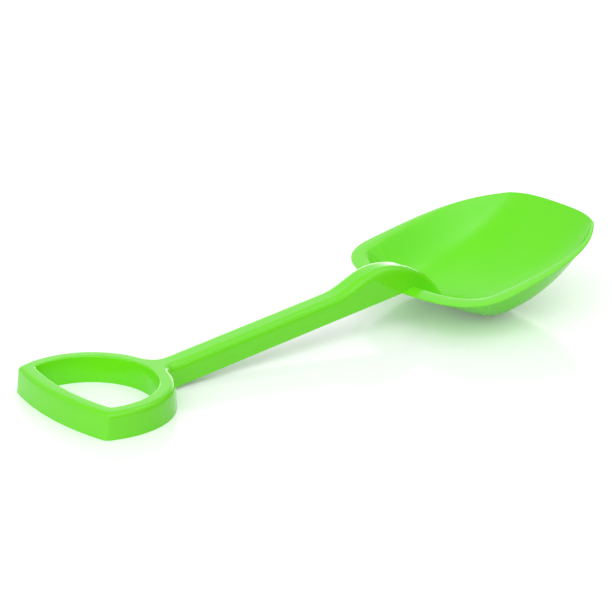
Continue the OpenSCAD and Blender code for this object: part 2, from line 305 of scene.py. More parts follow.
def band_sweep(line, path):
    """The band along a plan line that is given for any distance in from the outer foot, and height."""
    columns = []
    for inward, height in path:
        plan = line(inward, height)
        columns.append(np.column_stack([plan, np.full(len(plan), height)]))
    return np.stack(columns, axis=1)


def limb_line(angles):
    return lambda inward, height: polar(limb_at, limb_r - inward, angles)


def front_line(angles):
    return lambda inward, height: polar((front_x, 0), front_r - inward, angles)


def bar_line(inward, height):
    """Plan of the bar: end of one limb, rounded corner, bowed bar, and the same back on the other side."""
    r = mix(CORNER_R, LOOP_CORNER_R, inward / band_foot_w)
    to_ring = RING_R - inward - r
    to_bar = bar_r - inward - r
    gap = bar_r - ring_x
    x = ring_x + (to_ring**2 - to_bar**2 + gap**2) / (2 * gap)
    y = math.sqrt(to_ring**2 - (x - ring_x) ** 2)
    at_limb = math.atan2(y, x - ring_x)
    at_bar = math.atan2(y, x - bar_r)
    half = np.vstack([
        polar((ring_x, 0), RING_R - inward, np.linspace(BAR_TURN, at_limb, LIMB_END_STEPS)[:-1]),
        polar((x, y), r, np.linspace(at_limb, at_bar, CORNER_STEPS)),
        polar((bar_r, 0), bar_r - inward, np.linspace(at_bar, np.pi, BAR_STEPS)[1:]),
    ])
    corner = smooth(np.linspace(0, 1, CORNER_STEPS))
    share = np.concatenate([np.zeros(LIMB_END_STEPS - 1), corner, np.ones(BAR_STEPS - 1)])
    half[:, 0] += share * BAR_LEAN * height / BAND_H * (1 - inward / band_foot_w)
    return np.vstack([half, half[-2::-1] * np.array([1, -1])])


def grip_bar():
    return shell(band_sweep(bar_line, band_path()), band_sweep(bar_line, band_path(WALL)))


def grip_limb(side):
    line = limb_line(np.linspace(FRONT_TURN, BAR_TURN, LIMB_STEPS))
    grids = shell(band_sweep(line, band_path()), band_sweep(line, band_path(WALL)))
    return [(grid * np.array([1, side, 1]), surface) for grid, surface in grids]


# Throat: the ring's outer wall turns along a concave fillet into the side of the shaft, and the ring's flat
# top runs out into the top of the shaft

top_line_x = shaft_x - SHAFT_H * math.sin(SHAFT_RISE)
top_line_z = SHAFT_LIFT + SHAFT_H * math.cos(SHAFT_RISE)
ramp_x = top_line_x - (top_line_z - BAND_H) / math.tan(SHAFT_RISE) - RAMP_LEN / 2


def top_z(x):
    """Height of the top face: flat on the ring, then a soft ramp into the slope of the shaft."""
    along = np.clip(x - ramp_x, 0, None)
    soft = np.minimum(along, RAMP_LEN)
    return BAND_H + math.tan(SHAFT_RISE) * (soft**2 / (2 * RAMP_LEN) + along - soft)


# where the flare's hollow begins: its side, one wall in from the fillet, meets the ring's outer face
hollow_turn = math.acos((front_r**2 + reach**2 - (THROAT_R + WALL) ** 2) / (2 * front_r * reach))
hollow_angle = fillet_angle - hollow_turn
hollow_at = polar((front_x, 0), front_r, hollow_angle)
fillet_start = fillet_angle + math.pi
fillet_end = 1.5 * math.pi
hollow_dir = math.atan2(hollow_at[1] - fillet_y, hollow_at[0] - throat_x) % (2 * math.pi)
hollow_s = (hollow_dir - fillet_start) / (fillet_end - fillet_start)

half_angles = np.concatenate([
    np.linspace(0, hollow_angle, THROAT_STEPS),
    np.linspace(hollow_angle, fillet_angle, THROAT_STEPS)[1:],
])
throat_angles = np.concatenate([-half_angles[:0:-1], half_angles])
top_shares = np.sin(half_angles) / math.sin(fillet_angle)
hollow_shares = np.sin(half_angles[:THROAT_STEPS]) / math.sin(hollow_angle)


def flare_row(s, inset, shares):
    """Half a section of the flare, from the middle of its top along the fillet's edge to its foot."""
    lean = SHAFT_RISE * smooth(s)
    turn = mix(fillet_start, fillet_end, s)
    foot_x = polar((throat_x, fillet_y), THROAT_R, turn)[0]
    foot_z = ramp(s, hollow_s, 1) * (SHAFT_LIFT + (foot_x - shaft_x) * math.tan(SHAFT_RISE))
    height = mix(BAND_H, SHAFT_H, smooth(s))
    draft = mix(BAND_OUT_DRAFT, SHAFT_DRAFT, s)
    down = flank(height, mix(BAND_EDGE_R, SHOULDER_R, smooth(s)), draft, inset)
    plan = np.stack([
        throat_x + (THROAT_R + down[:, 0]) * math.cos(turn),
        fillet_y + (THROAT_R + down[:, 0]) * math.sin(turn),
    ], -1)
    x = plan[:, 0] - down[:, 1] * math.sin(lean)
    edge_top = top_z(x[0]) - inset
    z = foot_z + (edge_top - foot_z) * down[:, 1] / down[0, 1]
    side = np.column_stack([x, plan[:, 1], z])
    arch = np.sqrt(1 - (shares * math.sin(fillet_angle)) ** 2) - math.cos(fillet_angle)
    top_x = x[0] + (1 - smooth(s)) * (front_r - down[0, 0]) * arch
    top = np.column_stack([top_x, plan[0, 1] * shares, top_z(top_x) - inset])
    return np.vstack([top, side[1:]])


def grip_throat():
    fore = np.linspace(0, hollow_s, THROAT_STEPS)
    aft = np.linspace(hollow_s, 1, FLARE_STEPS)
    outside = [flare_row(s, 0, top_shares) for s in np.concatenate([fore, aft[1:]])]
    flare = whole(np.stack(outside + [shaft_row(0, 0)]))
    # the hollow's first row lies on the ring's outer face
    inside = [flare_row(s, WALL, hollow_shares) for s in aft]
    hollow_half = np.stack(inside + [shaft_row(0, WALL, hollow_shares)])
    corner = hollow_half[0, len(hollow_shares):]
    corner[:, :2] = hollow_at
    hollow_half[0, :len(hollow_shares), :2] = polar((front_x, 0), front_r, half_angles[:THROAT_STEPS])
    hollow = whole(hollow_half)
    ring_face = np.stack([hollow[0], hollow[0] * np.array([1, 1, 0])])

    turn = np.linspace(FRONT_TURN, fillet_angle, RING_END_STEPS)
    all_angles = np.concatenate([-turn[:-1], throat_angles, turn[-2::-1]])
    path = band_path()
    edge_top = ARC_STEPS + SIDE_STEPS
    ends = [band_sweep(front_line(side * turn), path) for side in (1, -1)]
    ring_top = band_sweep(front_line(throat_angles), path[edge_top:])
    ring_hollow = band_sweep(front_line(all_angles), band_path(WALL))
    inner_foot = band_sweep(front_line(all_angles), path[-1:])[:, 0]
    outer_foot = band_sweep(front_line(throat_angles), path[:1])[:, 0]
    count = len(turn) - 1
    middle_hollow = ring_hollow[count:-count, 0]
    foot_angles = np.linspace(fillet_angle, hollow_angle, THROAT_STEPS)
    foot_line = band_sweep(front_line(foot_angles), path[:1])[:, 0]
    left_foot = np.vstack([foot_line, hollow[1:, -1]])
    right_foot = np.vstack([foot_line * np.array([1, -1, 1]), hollow[1:, 0]])
    end_hollow = [ring_hollow[-count - 1:][::-1], ring_hollow[:count + 1]]
    grids = [(end, "skin") for end in ends] + [
        (ring_top, "skin"),
        (flare, "skin"),
        (ring_hollow, "hollow"),
        (hollow, "hollow"),
        (ring_face, "foot"),
        (np.stack([inner_foot, ring_hollow[:, -1]]), "foot"),
        (np.stack([outer_foot, middle_hollow]), "foot"),
        (np.stack([flare[:, -1], left_foot]), "foot"),
        (np.stack([flare[:, 0], right_foot]), "foot"),
    ]
    for end, under in zip(ends, end_hollow):
        grids.append((np.stack([end[:, 0], under[:, 0]]), "foot"))
        grids.append((np.stack([end[0], under[0]]), "cut"))
    grids.append((np.concatenate([flare[-1], hollow[-1, ::-1]])[None], "cut"))
    return grids


# Shaft


def shaft_row(along, inset, shares=None):
    """Half a section of the shaft at a distance along it."""
    half = channel_half(SHAFT_H, inset)
    if shares is not None:
        down = half[len(top_shares) - 1:]
        top = np.stack([down[0, 0] * shares, np.full(len(shares), down[0, 1])], -1)
        half = np.vstack([top, down[1:]])
    x = shaft_x + along * math.cos(SHAFT_RISE) - half[:, 1] * math.sin(SHAFT_RISE)
    z = SHAFT_LIFT + along * math.sin(SHAFT_RISE) + half[:, 1] * math.cos(SHAFT_RISE)
    # the start of the top is still on the ramp
    z += (top_z(x[0]) - inset / math.cos(SHAFT_RISE) - z[0]) * half[:, 1] / half[0, 1]
    return np.column_stack([x, half[:, 0], z])


def web_row(along):
    """The hollow's section where a stiffening web fills its upper part."""
    half = channel_half(SHAFT_H, WALL)
    height = np.minimum(half[:, 1], SHAFT_H * (1 - WEB_DEPTH))
    x = shaft_x + along * math.cos(SHAFT_RISE) - height * math.sin(SHAFT_RISE)
    z = SHAFT_LIFT + along * math.sin(SHAFT_RISE) + height * math.cos(SHAFT_RISE)
    return np.column_stack([x, half[:, 0], z])


def shaft():
    stations = [(along, False) for along in np.linspace(0, shaft_len, SHAFT_STEPS)]
    for share in WEB_AT:
        back = share * shaft_len - WEB_T
        front = share * shaft_len
        stations += [(back - 1e-6, False), (back, True), (front, True), (front + 1e-6, False)]
    stations = sorted(stations)
    outer = whole(np.stack([shaft_row(along, 0) for along, web in stations]))
    inner = whole(np.stack([web_row(along) if web else shaft_row(along, WALL) for along, web in stations]))
    return shell(outer, inner)


# Neck and scoop share the rim's plane: u along it from the back of the lip, v across, w up from it


def sag(u):
    return 4 * RIM_SAG * u * (SCOOP_LEN - u) / SCOOP_LEN**2


def from_rim(points):
    u, v, w = np.moveaxis(np.asarray(points, float), -1, 0)
    h = w - sag(u)
    x = scoop_x + u * math.cos(RIM_TILT) - h * math.sin(RIM_TILT)
    z = scoop_z + u * math.sin(RIM_TILT) + h * math.cos(RIM_TILT)
    return np.stack([x, v, z], -1)


def to_rim(points):
    d = np.asarray(points, float) - np.array([scoop_x, scoop_z])
    u = d[..., 0] * math.cos(RIM_TILT) + d[..., 1] * math.sin(RIM_TILT)
    w = d[..., 1] * math.cos(RIM_TILT) - d[..., 0] * math.sin(RIM_TILT) + sag(u)
    return np.stack([u, w], -1)


# side view of the hump: up from the shaft, over the top and down into the dish
hump_foot = np.array([
    shaft_end_x - SHAFT_H * math.sin(SHAFT_RISE),
    SHAFT_LIFT + shaft_len * math.sin(SHAFT_RISE) + SHAFT_H * math.cos(SHAFT_RISE),
])
hump_top = hump_foot + np.array([HUMP_LEN, HUMP_LEN * math.tan(SHAFT_RISE) + HUMP_RISE])
tongue_tip = np.array([hump_top[0] + TONGUE_LEN, TONGUE_TIP_Z])
climb = [
    hump_foot,
    hump_foot + HUMP_HANDLE * HUMP_LEN * np.array([1, math.tan(SHAFT_RISE)]),
    hump_top - np.array([HUMP_HANDLE * HUMP_LEN, 0]),
    hump_top,
]
fall = [
    hump_top,
    hump_top + np.array([FALL_START * TONGUE_LEN, 0]),
    tongue_tip + TONGUE_LEN * np.array(FALL_END),
    tongue_tip,
]
crest = np.vstack([
    bezier(climb, np.linspace(0, 1, CLIMB_STEPS)),
    bezier(fall, np.linspace(0, 1, FALL_STEPS))[1:],
])
crest_rim = to_rim(crest)
# the last point takes the line below the floor
crest_rim = np.vstack([crest_rim, crest_rim[-1] + np.array([SCOOP_LEN, -3 * SCOOP_LEN])])


def crest_w(u):
    return np.interp(u, crest_rim[:, 0], crest_rim[:, 1])


# outline of the lip: the back, then the side
taper = SCOOP_HALF_W - EDGE_HALF_W
rear_curve = [
    [0, 0],
    [0, REAR_START * SCOOP_HALF_W],
    [REAR_END * WIDEST_U, SCOOP_HALF_W],
    [WIDEST_U, SCOOP_HALF_W],
]
side_curve = [
    [WIDEST_U, SCOOP_HALF_W],
    [mix(WIDEST_U, corner_u, SIDE_START), SCOOP_HALF_W],
    [corner_u - SIDE_END[0] * taper, EDGE_HALF_W + SIDE_END[1] * taper],
    [corner_u, EDGE_HALF_W],
]


def outline(t):
    """Point of the lip's outer edge, and the direction in from it."""
    t = np.asarray(t, float)
    rear = np.clip(t, 0, 1)
    side = np.clip(t - 1, 0, 1)
    at_rear = (t < 1)[..., None]
    point = np.where(at_rear, bezier(rear_curve, rear), bezier(side_curve, side))
    along = np.where(at_rear, bezier_dir(rear_curve, rear), bezier_dir(side_curve, side))
    return point, np.stack([along[..., 1], -along[..., 0]], -1)


def lip_width(t):
    return mix(LIP_W, LIP_W_FRONT, np.clip(np.asarray(t, float) - 1, 0, 1) ** LIP_TAPER)


def lip_thickness(t):
    return mix(LIP_T, LIP_T_FRONT, np.clip(np.asarray(t, float) - 1, 0, 1))


def row_t(s):
    """Place along the lip's outline where a row ends, by the row's share of the scoop's length."""
    return mix(REAR_T, FRONT_T, s)


def row_share(t):
    return np.clip((np.asarray(t, float) - REAR_T) / (FRONT_T - REAR_T), 0, 1)


def wall_slope(t):
    """Slope of the dish's wall under a place of the lip."""
    side = mix(WALL_ANGLE, WALL_ANGLE_FRONT, row_share(t))
    return np.tan(mix(REAR_ANGLE, side, ramp(t, *WALL_TURNS)))


def wall_at(s):
    """Thickness of the scoop's wall, which thins out near the cutting edge."""
    return mix(WALL, EDGE_T, np.clip(s, 0, 1) ** 3)


def upper_reach(t):
    """How far in from the lip's outer edge its top runs."""
    return lip_width(t) - LIP_ROUND


def lower_reach(t):
    """How far in from the lip's outer edge its underside runs, to where the belly's wall leaves it."""
    slope = wall_slope(np.asarray(t, float))
    past = (wall_at(row_share(t)) * np.sqrt(1 + slope**2) - lip_thickness(t)) / slope
    return lip_width(t) - np.minimum(past, (1 - LEAST_UNDERSIDE) * lip_width(t))


def inside_line(t, run_in):
    point, inward = outline(t)
    return point + run_in(t)[..., None] * inward


edge_end = inside_line(np.array(FRONT_T), lip_width)
edge_sag = SCOOP_LEN - edge_end[0]


def edge_u(v):
    """Cutting edge: almost straight in the middle and rounded towards the lip's ends."""
    return SCOOP_LEN - edge_sag * np.abs(v / edge_end[1]) ** 3


def floor_depth(u, v):
    """Depth of the arched floor: a parabola along the middle, fuller along its creases."""
    x = (edge_u(v) - u) / (SCOOP_LEN - dish_u)
    y = (v / FLOOR_HALF_W) ** 2
    return np.maximum(DISH_DEPTH * (1 - np.abs(1 - x) ** mix(*FLOOR_POWERS, y)) * (1 - DISH_RISE * y), 0)


def soft_least(depths, p):
    """The least of several depths, rounded where they are alike: the lower the power, the softer."""
    return sum((1 / np.maximum(d, 1e-3)) ** p for d in depths) ** (-1 / p)


# rows lie closer together at the back, and columns at the rim
row_shares = np.linspace(0, 1, DISH_ROWS) ** 1.35 * (1 - EDGE_INSET / SCOOP_LEN)
column_shares = 1 - (1 - np.linspace(0, 1, DISH_COLUMNS)) ** 1.5


class DishFace:
    """The upper or the lower face of the scoop, over a plan of rows (back to front) and shares across."""

    def __init__(self, run_in, half_w, lower):
        self.lower = lower
        self.half_w = half_w
        back_t = np.linspace(0, REAR_T, BACK_STEPS)
        first_t = np.interp(half_w, inside_line(back_t, run_in)[:, 1], back_t)
        self.back_t = np.linspace(first_t, REAR_T, BACK_STEPS)
        self.back = inside_line(self.back_t, run_in)
        self.back_share = (self.back[:, 1] - half_w) / (self.back[-1, 1] - half_w)
        self.s = row_shares[:, None]
        side = inside_line(row_t(self.s), run_in)
        self.side_u = side[..., 0]
        self.side_v = side[..., 1]
        self.end = inside_line(np.array(FRONT_T), run_in)
        rim_t = np.linspace(first_t, FRONT_T, RIM_STEPS)
        self.rim = inside_line(rim_t, run_in)
        self.rim_step = np.hypot(*np.gradient(self.rim, axis=0).T)
        # along the side the slope is that of a cut straight across the scoop
        across = np.where(rim_t < 1, 1, np.abs(outline(rim_t)[1][:, 1]))
        self.rim_slope = wall_slope(rim_t) / across

    def back_u(self, x):
        return np.interp(x, self.back_share, self.back[:, 0])

    def plan(self, x):
        """Place of shares x across each row, from the neck's side to the rim."""
        v = mix(self.half_w, self.side_v, x)
        forward = edge_u(mix(self.half_w, self.end[1], x)) - edge_u(self.end[1])
        u = self.side_u + (1 - self.s) * (self.back_u(x) - self.back[-1, 0]) + self.s * forward
        return u, v

    def share(self, v):
        return (v - self.half_w) / (self.side_v - self.half_w)

    def wall(self, u, v):
        """Depth of the wall, from the rim: the nearest places count most, so its corners are rounded."""
        u, v = np.broadcast_arrays(u, np.maximum(v, self.half_w))
        wall = np.empty(u.shape)
        for row in range(len(u)):
            away = (u[row][:, None] - self.rim[:, 0]) ** 2 + (v[row][:, None] - self.rim[:, 1]) ** 2
            count = np.maximum(away, 0.01) ** (-RIM_POWER / 2) * self.rim_step
            total = count.sum(axis=1)
            # beside a straight rim this is the distance itself
            run = (total / STRAIGHT_RIM) ** (-1 / (RIM_POWER - 1))
            run = np.minimum(run, np.sqrt(away.min(axis=1)))
            wall[row] = (count @ self.rim_slope) / total * (np.sqrt(run**2 + LIP_ROUND**2) - LIP_ROUND)
        return wall

    def depth(self, u, v):
        """Depth below the rim: the floor, held by the wall through a soft crease."""
        floor = floor_depth(u, v)
        wall = self.wall(u, v)
        if not self.lower:
            return soft_least([floor, wall], mix(*DISH_CREASE, self.s))
        slope_u = floor_depth(u + 0.5, v) - floor_depth(u - 0.5, v)
        slope_v = floor_depth(u, v + 0.5) - floor_depth(u, v - 0.5)
        floor = floor + wall_at(self.s) * np.sqrt(1 + slope_u**2 + slope_v**2)
        wall = wall + lip_thickness(row_t(self.s))
        # 1 where floor and wall are equally deep, and less away from there
        crease = 2 * floor * wall / (floor**2 + wall**2)
        along = ramp(self.s, *BULGE_FROM_BACK) * ramp(self.s, *BULGE_FROM_FRONT)
        side = along * ramp(v, *BULGE_ACROSS)
        least = soft_least([floor, wall], mix(*BELLY_CREASE, ramp(self.s, *BELLY_SHARPENS)))
        return least + BELLY_BULGE * side * crease**8

    def rows(self):
        """Rows from the middle to the rim: top, shoulder, side and foot of the tongue, then the dish."""
        inset = WALL if self.lower else 0
        foot_u = self.plan(np.zeros(1))[0]
        past = foot_u - foot_u[0]
        grown = smooth(past / TONGUE_FILLET_RUN)
        shoulder_r = SHOULDER_R - inset
        flat_half_w = self.half_w - SHAFT_DRAFT - shoulder_r
        turn = np.linspace(np.pi / 2, 0, ARC_STEPS)[1:]
        fall_side = np.linspace(0, 1, SIDE_STEPS + 1)[1:]
        v = np.concatenate([
            flat_half_w * top_shares,
            flat_half_w + shoulder_r * np.cos(turn),
            mix(flat_half_w + shoulder_r, self.half_w, fall_side),
        ])[None]
        u = foot_u + self.s * (edge_u(v) - edge_u(self.half_w))
        ground = -self.depth(u, v)
        over = crest_w(u + grown * v**2 / (2 * TONGUE_TIP_R)) - inset - ground
        ease = TOE_BLEND * grown
        height = (over + np.sqrt(over**2 + ease**2)) / 2
        fillet_r = np.maximum(TONGUE_FILLET * grown, 1e-3)
        rise = soft_least([shoulder_r, SHOULDER_SHARE * height], TONGUE_SOFTNESS)
        foot_h = soft_least([fillet_r, FOOT_SHARE * height], TONGUE_SOFTNESS)
        foot_h = np.where(grown > 0, foot_h, 0)
        n_top = len(top_shares)
        n_arc = len(turn)
        lift = height.copy()
        lift[:, n_top:n_top + n_arc] -= rise[:, n_top:n_top + n_arc] * (1 - np.sin(turn))
        sides = slice(n_top + n_arc, None)
        lift[:, sides] = mix(height[:, sides] - rise[:, sides], foot_h[:, sides], fall_side)
        tongue = np.stack(np.broadcast_arrays(u, v, ground + lift), -1)

        bend = np.linspace(0, np.pi / 2, FILLET_STEPS)[1:]
        fillet_v = self.half_w + fillet_r * (1 - np.cos(bend))
        fillet_u, fillet_v = self.plan(self.share(fillet_v))
        fillet_w = foot_h[:, -1:] * (1 - np.sin(bend)) - self.depth(fillet_u, fillet_v)
        fillet = np.stack(np.broadcast_arrays(fillet_u, fillet_v, fillet_w), -1)

        start = self.share(self.half_w + fillet_r)
        dish_u_at, dish_v_at = self.plan(mix(start, 1, column_shares[1:]))
        dish = np.stack([dish_u_at, dish_v_at, -self.depth(dish_u_at, dish_v_at)], -1)
        return np.concatenate([tongue, fillet, dish], axis=1)

    def rim_t(self):
        """Places of the back row's columns and of the rows' ends along the lip's outline."""
        columns = mix(self.share(self.half_w + 1e-3)[0], 1, column_shares)
        back = np.interp(columns, self.back_share, self.back_t)
        return np.concatenate([back, row_t(row_shares[1:])])


def rounded_edge(upper, lower):
    """Closes the front of two faces with a rounded edge."""
    middle = (upper[-1] + lower[-1]) / 2
    half = (upper[-1] - lower[-1]) / 2
    ahead = unit(unit(upper[-1] - upper[-3]) + unit(lower[-1] - lower[-3]))
    ahead *= EDGE_AHEAD * np.abs(half[:, 2:])
    turn = np.linspace(0, np.pi, EDGE_STEPS)[:, None, None]
    edge = middle + half * np.cos(turn) + ahead * np.sin(turn)
    edge[0] = upper[-1]
    edge[-1] = lower[-1]
    return edge


upper_dish = DishFace(upper_reach, SHAFT_HALF_W, lower=False)
lower_dish = DishFace(lower_reach, SHAFT_HALF_W - WALL, lower=True)
upper_rows = upper_dish.rows()
lower_rows = lower_dish.rows()


def neck():
    """Channel sections whose feet run from the shaft's lower edge to the underside of the lip."""
    ends = []
    for face in (upper_dish, lower_dish):
        end = from_rim([face.back[0, 0], 0, -LIP_T])
        ends.append(end[[0, 2]])
    start = np.array([shaft_end_x, SHAFT_LIFT + shaft_len * math.sin(SHAFT_RISE)])
    faces = []
    for inset, end in zip((0, WALL), ends):
        rows = []
        for s in np.linspace(0, 1, NECK_STEPS):
            foot = mix(start, end, s)
            tilt = mix(SHAFT_RISE, RIM_TILT, s)
            along = np.array([math.cos(tilt), math.sin(tilt)])
            up = np.array([-math.sin(tilt), math.cos(tilt)])
            line = (crest - foot) @ np.stack([along, up], -1)
            height = np.interp(0, line[:, 0], line[:, 1]) if s > 0 else SHAFT_H
            half = channel_half(height, inset)
            side_view = foot + half[:, 1:] * up
            rows.append(np.column_stack([side_view[:, 0], half[:, 0], side_view[:, 1]]))
        faces.append(np.stack(rows))
    # the last section is the first row of the tongue, over the foot of the neck
    shared = faces[0].shape[1] - 1
    faces[0][-1, :shared] = from_rim(upper_rows[0, :shared])
    return shell(whole(faces[0]), whole(faces[1]))


def scoop_bowl():
    upper = whole(from_rim(upper_rows))
    lower = whole(from_rim(lower_rows))
    edge = rounded_edge(upper, lower)
    return shell(upper, lower)[:5] + [(edge, "skin")]


def lip(side):
    """Slightly crowned lip from the neck to the cutting edge, with a rounded outer edge."""
    t = upper_dish.rim_t()
    point, inward = outline(t)
    round_r = lip_thickness(t)[:, None] / 2
    turn = np.linspace(np.pi / 2, 0, LIP_ARC_STEPS)
    flat = np.linspace(1, 0, LIP_TOP_STEPS)[:-1]

    def face(rim, top):
        sign = 1 if top else -1
        run = np.linalg.norm(rim[:, :2] - point, axis=-1)[:, None]
        inside = np.concatenate([mix(round_r, run, flat), round_r * (1 - np.cos(turn))], axis=1)
        crown = LIP_CROWN * run * flat**CROWN_POWER * (1 - flat) if top else 0 * flat
        edge_below = -round_r * (1 - sign * np.sin(turn))
        below = np.concatenate([crown - round_r * (1 - sign), edge_below], axis=1)
        plan = point[:, None] + inside[..., None] * inward[:, None]
        rows = np.concatenate([plan, below[..., None]], axis=-1)
        rows[:, 0, :2] = rim[:, :2]
        return rows

    rims = []
    for rows in (upper_rows, lower_rows):
        back = rows[0, -DISH_COLUMNS:]
        rims.append(np.vstack([back, rows[1:, -1]]))
    upper = face(rims[0], True)
    lower = face(rims[1], False)
    upper[:, 0] = rims[0]
    lower[:, 0] = rims[1]
    # the end is let into the wall of the neck
    let_in = np.array([0, -WALL / 2, 0])
    upper = from_rim(np.concatenate([upper[:1] + let_in, upper]))
    lower = from_rim(np.concatenate([lower[:1] + let_in, lower]))
    edge = rounded_edge(upper, lower)
    grids = shell(upper, lower)
    grids[1] = (lower, "underside")
    grids[-1] = (edge, "skin")
    return [(grid * np.array([1, side, 1]), surface) for grid, surface in grids]


# Meshes

SMOOTH = ("skin", "hollow", "underside")
FLAT = ("foot", "cut")
SURFACES = SMOOTH + FLAT


def make_piece(name, grids, material, *nodes):
    """One mesh from grids of points in millimetres; points in the same place become one."""
    points = np.concatenate([grid.reshape(-1, 3) for grid, surface in grids])
    points, place = np.unique(np.round(points, 3), axis=0, return_inverse=True)
    place = place.reshape(-1)
    faces = []
    kinds = []
    start = 0
    for grid, surface in grids:
        rows, columns = grid.shape[:2]
        at = place[start:start + rows * columns].reshape(rows, columns)
        start += rows * columns
        if rows == 1:
            quads = at.tolist()
        else:
            quads = np.stack([at[:-1, :-1], at[:-1, 1:], at[1:, 1:], at[1:, :-1]], -1).reshape(-1, 4).tolist()
        for quad in quads:
            corners = list(dict.fromkeys(quad))
            if len(corners) > 2:
                faces.append(corners)
                kinds.append(SURFACES.index(surface))
    mesh = bpy.data.meshes.new(name)
    mesh.from_pydata((points - np.array([OVERALL_LEN / 2, 0, 0])) * MM, [], faces)
    mesh.attributes.new("surface", "INT", "FACE").data.foreach_set("value", kinds)
    work = bmesh.new()
    work.from_mesh(mesh)
    bmesh.ops.recalc_face_normals(work, faces=work.faces)
    work.to_mesh(mesh)
    work.free()
    mesh.materials.append(material)
    obj = bpy.data.objects.new(name, mesh)
    bpy.context.scene.collection.objects.link(obj)
    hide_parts(*nodes)
    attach(obj, "root")
    return obj


def share_normals(pieces):
    """Smooth faces of all pieces get one set of normals, so that no seam shows where two pieces meet."""
    keys = []
    weights = []
    for piece in pieces:
        mesh = piece.data
        place = np.zeros(len(mesh.vertices) * 3)
        mesh.vertices.foreach_get("co", place)
        corner = np.zeros(len(mesh.loops), int)
        mesh.loops.foreach_get("vertex_index", corner)
        counts = np.zeros(len(mesh.polygons), int)
        mesh.polygons.foreach_get("loop_total", counts)
        normal = np.zeros(len(mesh.polygons) * 3)
        mesh.polygons.foreach_get("normal", normal)
        area = np.zeros(len(mesh.polygons))
        mesh.polygons.foreach_get("area", area)
        kind = np.zeros(len(mesh.polygons), int)
        mesh.attributes["surface"].data.foreach_get("value", kind)
        face = np.repeat(np.arange(len(counts)), counts)
        at = np.round(place.reshape(-1, 3)[corner] / (SAME_PLACE * MM)).astype(int)
        # a flat face keeps its own normal: its corners share with no other face
        group = np.where(kind < len(SMOOTH), kind, len(SMOOTH) + np.arange(len(kind)))[face]
        keys.append(np.column_stack([at, group]))
        weights.append((normal.reshape(-1, 3) * area[:, None])[face])
        mesh.attributes.remove(mesh.attributes["surface"])
    found, place = np.unique(np.concatenate(keys), axis=0, return_inverse=True)
    place = place.reshape(-1)
    weights = np.concatenate(weights)
    total = np.stack([np.bincount(place, weights[:, axis], len(found)) for axis in range(3)], -1)
    normals = unit(total)[place]
    start = 0
    for piece in pieces:
        mesh = piece.data
        count = len(mesh.loops)
        mesh.polygons.foreach_set("use_smooth", np.ones(len(mesh.polygons), bool))
        mesh.normals_split_custom_set(normals[start:start + count].tolist())
        start += count


# Materials


def linear(hex_colour):
    """Linear colour of an sRGB hex value."""
    parts = [int(hex_colour[i:i + 2], 16) / 255 for i in (1, 3, 5)]
    return tuple(c / 12.92 if c <= 0.04045 else ((c + 0.055) / 1.055) ** 2.4 for c in parts) + (1.0,)


def add_node(tree, kind, settings=None, **inputs):
    """A node with its settings, and its inputs by name: a value, or another node's output to link to."""
    node = tree.nodes.new(kind)
    for name, value in (settings or {}).items():
        setattr(node, name, value)
    for name, value in inputs.items():
        socket = next(s for s in node.inputs if s.enabled and s.name == name.replace("_", " "))
        if isinstance(value, bpy.types.NodeSocket):
            tree.links.new(value, socket)
        else:
            socket.default_value = value
    return node


def moulded_polypropylene():
    """Glossy injection-moulded polypropylene: bright even green, a hard shine with soft edges to its
    reflections, and the slight waviness that a polished mould and shrinking plastic leave."""
    material = bpy.data.materials.new("moulded_polypropylene_green")
    material.use_nodes = True
    tree = material.node_tree
    shader = tree.nodes["Principled BSDF"]
    shader.inputs["IOR"].default_value = 1.49
    place = add_node(tree, "ShaderNodeTexCoord").outputs["Object"]
    # pigment is mixed unevenly over about 40 mm
    pigment = add_node(tree, "ShaderNodeTexNoise", Scale=1 / (40 * MM), Detail=2.0, Vector=place)
    colour = add_node(tree, "ShaderNodeMixRGB", Fac=pigment.outputs["Fac"],
                      Color1=linear("#70E41A"), Color2=linear("#74E81E"))
    tree.links.new(colour.outputs["Color"], shader.inputs["Base Color"])
    # the mould's polish differs over about 15 mm
    polish = add_node(tree, "ShaderNodeTexNoise", Scale=1 / (15 * MM), Detail=3.0, Vector=place)
    gloss = add_node(tree, "ShaderNodeMapRange", Value=polish.outputs["Fac"], To_Min=0.13, To_Max=0.18)
    tree.links.new(gloss.outputs["Result"], shader.inputs["Roughness"])
    # waviness of the moulded skin, about 6 mm across and at most 0.03 mm deep
    waves = add_node(tree, "ShaderNodeTexNoise", Scale=1 / (6 * MM), Detail=1.0, Vector=place)
    bump = add_node(tree, "ShaderNodeBump", Strength=0.25, Distance=0.03 * MM, Height=waves.outputs["Fac"])
    tree.links.new(bump.outputs["Normal"], shader.inputs["Normal"])
    return material


# light that the acrylic sheet gives off to the eye and to reflections
FLOOR_GLOW = 0.16


def polished_acrylic():
    """Cast white acrylic sheet: pure white, light inside its shadows, with a soft mirror image near what
    stands on it."""
    material = bpy.data.materials.new("polished_acrylic_white")
    material.use_nodes = True
    tree = material.node_tree
    shader = tree.nodes["Principled BSDF"]
    rays = add_node(tree, "ShaderNodeLightPath")
    seen = add_node(tree, "ShaderNodeMath", {"operation": "MAXIMUM"}, Value=rays.outputs["Is Camera Ray"])
    tree.links.new(rays.outputs["Is Glossy Ray"], seen.inputs[1])
    glow = add_node(tree, "ShaderNodeMath", {"operation": "MULTIPLY"}, Value=seen.outputs["Value"])
    glow.inputs[1].default_value = FLOOR_GLOW
    shader.inputs["Emission Color"].default_value = (1, 1, 1, 1)
    tree.links.new(glow.outputs["Value"], shader.inputs["Emission Strength"])
    shader.inputs["Base Color"].default_value = linear("#F6F6F8")
    shader.inputs["Roughness"].default_value = 0.12
    shader.inputs["IOR"].default_value = 1.49
    return material


